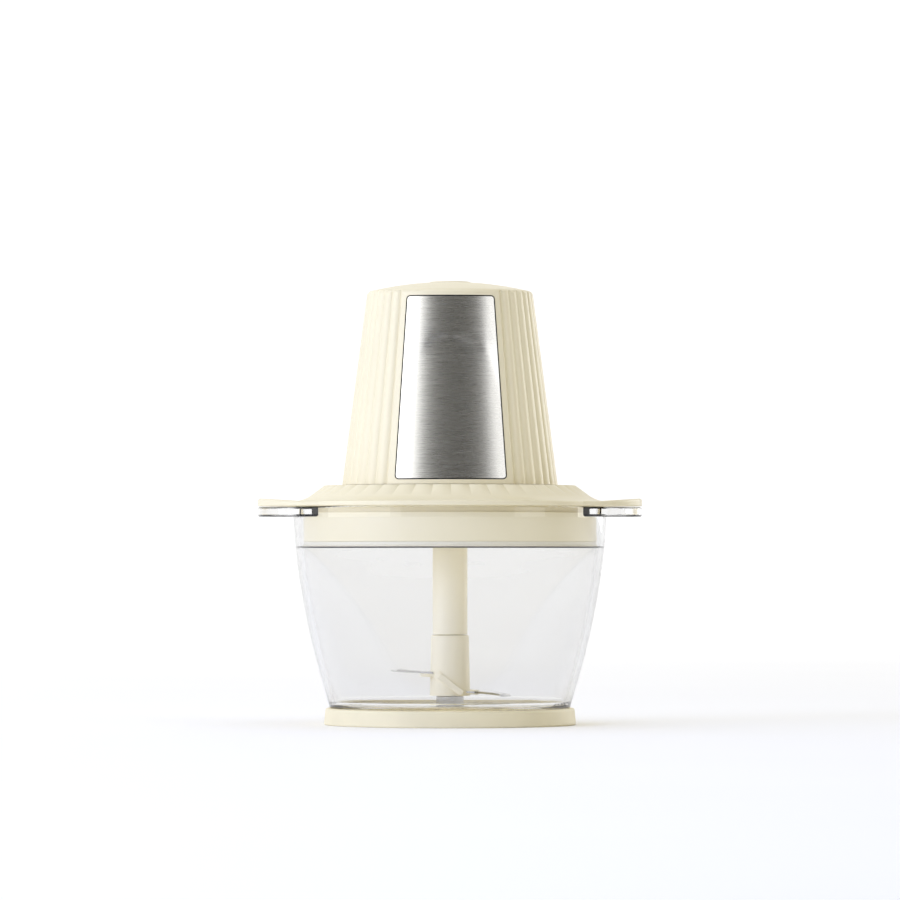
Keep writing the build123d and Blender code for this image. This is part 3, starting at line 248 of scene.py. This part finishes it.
def circuit(name, color):
    """A lacquered board with tracks."""
    s = Shade(name, Roughness=0.35, IOR=1.5)
    s.set("Coat Weight", 0.4)
    tracks = s.nodes.new("ShaderNodeTexVoronoi")
    tracks.distance = "MANHATTAN"
    tracks.inputs["Scale"].default_value = 260
    s.links.new(s.place, tracks.inputs["Vector"])
    cells = tracks.outputs["Distance"]
    s.feed("Base Color", s.ramp(cells, tinted(color, 1.5), tinted(color, 0.7), 0.3, 0.4))
    s.bump(cells, 0.00003)
    return s.material


MATERIALS = {
    "cream_plastic": moulded("cream_plastic", CREAM, 0.36),
    # painted light: lighter copies of the cream for the stem, hub, ramps and lid insert inside the
    # bowl
    "cream_inner_painted_lit": moulded("cream_inner_painted_lit", PAINTED_LIT_INNER_CREAM, 0.36),
    "cream_plug_painted_lit": moulded("cream_plug_painted_lit", PAINTED_LIT_PLUG_CREAM, 0.36),
    "cream_soft": rubbery("cream_soft", tinted(CREAM, 0.98), 0.5),
    "clear_glass": glass("clear_glass"),
    "brushed_panel": brushed("brushed_panel", (0.90, 0.89, 0.86), 0.255),
    "bright_steel": turned_metal("bright_steel", (0.74, 0.74, 0.73)),
    # painted shade: a darker copy of the bright steel, standing in for the dark reflections on the
    # pin
    "pin_steel_painted_dark": turned_metal("pin_steel_painted_dark", (0.58, 0.58, 0.58), 0.16),
    "blade_steel": brushed(
        "blade_steel", (0.66, 0.66, 0.66), 0.16, fine=2600, along=(0.4, 0.4, 1.0), turn=0.3
    ),
    "clear_silicone": rubbery("clear_silicone", (0.84, 0.79, 0.62), 0.4),
    "black_rubber": rubbery("black_rubber", (0.008, 0.008, 0.009)),
    "dark_plastic": moulded("dark_plastic", (0.035, 0.035, 0.037), 0.5),
    "natural_plastic": moulded("natural_plastic", (0.72, 0.70, 0.63), 0.4),
    "laminated_iron": laminated("laminated_iron", (0.33, 0.34, 0.36)),
    "copper": wound_copper("copper", (0.72, 0.30, 0.12)),
    "brass": turned_metal("brass", (0.75, 0.56, 0.24)),
    "sintered_bronze": rubbery("sintered_bronze", (0.40, 0.26, 0.12), 0.4),
    "carbon": moulded("carbon", (0.02, 0.02, 0.022), 0.6),
    "board_green": circuit("board_green", (0.02, 0.16, 0.06)),
}


def dress_cad_nodes():
    """Every CAD node takes its slot's material, or where one is named a copy of it painted lighter
    or darker: painted light and shade.
    """
    slots = {part["node"]: part["material_slot"] for part in frame["record"]["subparts"]}
    for node, piece in frame["nodes"].items():
        for slot in piece.material_slots:
            slot.material = MATERIALS[PAINTED_LIGHT_AND_SHADE_COPIES.get(node, slots[node])]


CREASE = math.radians(32)


def piece_from(name, mesh):
    """An object for a mesh, shaded smooth with edges sharper than the crease angle kept crisp."""
    mesh.shade_smooth()
    mesh.set_sharp_from_angle(angle=CREASE)
    piece = bpy.data.objects.new(name, mesh)
    bpy.context.collection.objects.link(piece)
    return piece


# ---- pieces --------------------------------------------------------------------------------------
def swept(name, sections):
    """A closed solid through a row of cross-sections with the same number of points each."""
    shape = bmesh.new()
    rings = [[shape.verts.new(point) for point in section] for section in sections]
    for a, b in zip(rings, rings[1:]):
        for i in range(len(a)):
            j = (i + 1) % len(a)
            shape.faces.new([a[i], a[j], b[j], b[i]])
    shape.faces.new(rings[0])
    shape.faces.new(rings[-1][::-1])
    bmesh.ops.recalc_face_normals(shape, faces=shape.faces)
    mesh = bpy.data.meshes.new(name)
    shape.to_mesh(mesh)
    shape.free()
    return piece_from(name, mesh)


WIRE_R = 0.0003
WIRE_SIDES = 10
SPRING_TURNS = 6
STEPS_PER_TURN = 32


def button_coil():
    """The push button's wire spring, built at full length and fixed to the head; it does not
    shorten as the button goes down.
    """
    low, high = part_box("button_spring")
    radius = high[0] - WIRE_R
    foot, top = low[2] + WIRE_R, high[2] - WIRE_R
    steps = SPRING_TURNS * STEPS_PER_TURN
    sections = []
    for step in range(steps + 1):
        turn = 2 * math.pi * SPRING_TURNS * step / steps
        z = foot + (top - foot) * step / steps
        section = []
        for corner in range(WIRE_SIDES):
            angle = 2 * math.pi * corner / WIRE_SIDES
            r = radius + WIRE_R * math.cos(angle)
            section.append((r * math.cos(turn), r * math.sin(turn), z + WIRE_R * math.sin(angle)))
        sections.append(section)
    coil = swept("button_coil", sections)
    coil.data.materials.append(MATERIALS["bright_steel"])
    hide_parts("button_spring")
    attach(coil, "head")
    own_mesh(coil)


RAMP_SLOPE = math.radians(39.5)
RAMP_MID_Z = 0.0205
RAMP_HALF_W = 0.0017
RAMP_ENDS = (-0.0070, 0.0078)
RAMP_FACE_Y = 0.0112        # how far the face stands from the axis at the middle
RAMP_BACK_Y = 0.0065        # inside the hub's wall, clear of its bore
RAMP_LEAN = 0.15            # how much further it stands for each step to the right
RAMP_ROUND = 0.0003
RAMP_STEPS = 12


def hub_ramp(name, side):
    """The flat strip that runs down one side of the hub, from the upper wing to the lower one."""
    first, last = RAMP_ENDS
    sections = []
    for step in range(RAMP_STEPS + 1):
        along = first + (last - first) * step / RAMP_STEPS
        sunk = RAMP_ROUND if step in (0, RAMP_STEPS) else 0.0
        middle = along * math.cos(RAMP_SLOPE)
        face = RAMP_FACE_Y + RAMP_LEAN * middle - sunk
        half = RAMP_HALF_W - sunk / 2
        outline = [
            (-half, RAMP_BACK_Y), (-half, face - RAMP_ROUND), (-half + RAMP_ROUND, face),
            (half - RAMP_ROUND, face), (half, face - RAMP_ROUND), (half, RAMP_BACK_Y),
        ]
        section = []
        for across, out in outline:
            x = middle + across * math.sin(RAMP_SLOPE)
            z = RAMP_MID_Z - along * math.sin(RAMP_SLOPE) + across * math.cos(RAMP_SLOPE)
            section.append((x, side * out, z))
        sections.append(section)
    ramp = swept(name, sections)
    # painted light: the ramp takes the lighter inner cream
    ramp.data.materials.append(MATERIALS["cream_inner_painted_lit"])
    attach(ramp, "blade_unit")


# ---- studio -------------------------------------------------------------------------------------
def studio_material(name, color):
    """A matt painted surface with no gloss."""
    s = Shade(name, Roughness=0.9)
    s.set("Specular IOR Level", 0.0)
    s.feed("Base Color", s.ramp(s.noise(3, 2), tinted(color, 0.99), tinted(color, 1)))
    return s.material


def area_light(name, place, aim, size, power, color):
    data = bpy.data.lights.new(name, "AREA")
    data.color = color
    data.shape = "RECTANGLE"
    data.size, data.size_y = size
    data.energy = power
    lamp = bpy.data.objects.new(name, data)
    bpy.context.collection.objects.link(lamp)
    lamp.location = place
    lamp.rotation_euler = (Vector(aim) - Vector(place)).to_track_quat("-Z", "Y").to_euler()
    lamp.visible_glossy = False
    lamp.visible_transmission = False


SHEET_STEPS = 24


def curved_sheet(name, radius, left, right, low, high):
    """An upright sheet round the object, between two bearings in degrees from the front.

    It is kept out of the camera's direct sight and out of the glass.
    """
    shape = bmesh.new()
    edges = []
    for step in range(SHEET_STEPS + 1):
        angle = math.radians(left + (right - left) * step / SHEET_STEPS)
        x, y = radius * math.sin(angle), -radius * math.cos(angle)
        edges.append((shape.verts.new((x, y, low)), shape.verts.new((x, y, high))))
    for a, b in zip(edges, edges[1:]):
        shape.faces.new([a[0], b[0], b[1], a[1]])
    mesh = bpy.data.meshes.new(name)
    shape.to_mesh(mesh)
    shape.free()
    sheet = piece_from(name, mesh)
    sheet.visible_camera = False
    sheet.visible_transmission = False
    return sheet


def card(name, radius, left, right, low, high, shade):
    """A grey flag: it darkens what the object reflects and the light that reaches it."""
    sheet = curved_sheet(name, radius, left, right, low, high)
    sheet.data.materials.append(studio_material(name, shade))


def glow(name, radius, left, right, low, high, strength):
    """A lit sheet that only shows in reflections."""
    sheet = curved_sheet(name, radius, left, right, low, high)
    s = Shade(name, Roughness=1.0)
    s.set("Base Color", grey(0.0))
    s.set("Emission Color", grey(1.0))
    s.set("Emission Strength", strength)
    sheet.data.materials.append(s.material)
    sheet.visible_diffuse = False
    sheet.visible_shadow = False


FLOOR_SIZE = 40
FLOOR_WHITE = (0.99, 0.99, 0.99)
WORLD_STRENGTH = 1.09
FLAG_GREY = (0.098, 0.094, 0.082)
FLAG_CREAM = (0.24, 0.185, 0.08)
KEY_COLOR = (0.74, 0.92, 1.7)
FILL_COLOR = (0.84, 0.95, 1.35)


def studio():
    """A white floor and world, two flags, three lit sheets and two lamps."""
    bpy.ops.mesh.primitive_plane_add(size=FLOOR_SIZE)
    floor = bpy.context.object
    floor.name = "studio_floor"
    floor.data.materials.append(studio_material("studio_floor", FLOOR_WHITE))
    world = bpy.data.worlds.new("studio")
    bpy.context.scene.world = world
    world.use_nodes = True
    sky = world.node_tree.nodes["Background"]
    sky.inputs["Color"].default_value = grey(1.0)
    sky.inputs["Strength"].default_value = WORLD_STRENGTH
    card("front_card", 3.4, -36, 47, 0.02, 2.6, FLAG_GREY)
    card("right_card", 2.6, 72, 130, 0.02, 2.4, FLAG_CREAM)
    glow("left_glow", 2.5, -100, -44, 0.02, 1.6, 2.4)
    glow("right_glow", 2.5, 52, 72, 0.02, 1.6, 1.7)
    glow("rim_glow", 2.4, 106, 150, 0.02, 1.6, 3.2)
    area_light("key_left", (-1.66, -1.16, 0.55), (0, 0, 0.10), (1.0, 1.0), 10.2, KEY_COLOR)
    area_light("fill_front", (-0.75, -2.05, 0.30), (0, 0, 0.08), (0.8, 0.8), 5.5, FILL_COLOR)
    bpy.context.scene.view_settings.view_transform = "Standard"


EYE = Vector((-0.0257, -3.0, 0.086))
AIM = Vector((0, 0, 0.13725))
FIELD_WIDTH = 0.450         # the width that the view takes in at the object
SENSOR_MM = 36.0


def camera():
    """The photograph's view: square on, a little under half the height, from three metres."""
    data = bpy.data.cameras.new("camera")
    data.sensor_width = SENSOR_MM
    data.lens = SENSOR_MM * (AIM - EYE).length / FIELD_WIDTH
    data.clip_start, data.clip_end = 0.1, 50
    lens = bpy.data.objects.new("camera", data)
    bpy.context.collection.objects.link(lens)
    lens.location = EYE
    lens.rotation_euler = (AIM - EYE).to_track_quat("-Z", "Y").to_euler()
    bpy.context.scene.camera = lens


dress_cad_nodes()
button_coil()
hub_ramp("hub_ramp_front", -1)
hub_ramp("hub_ramp_rear", 1)
studio()
camera()
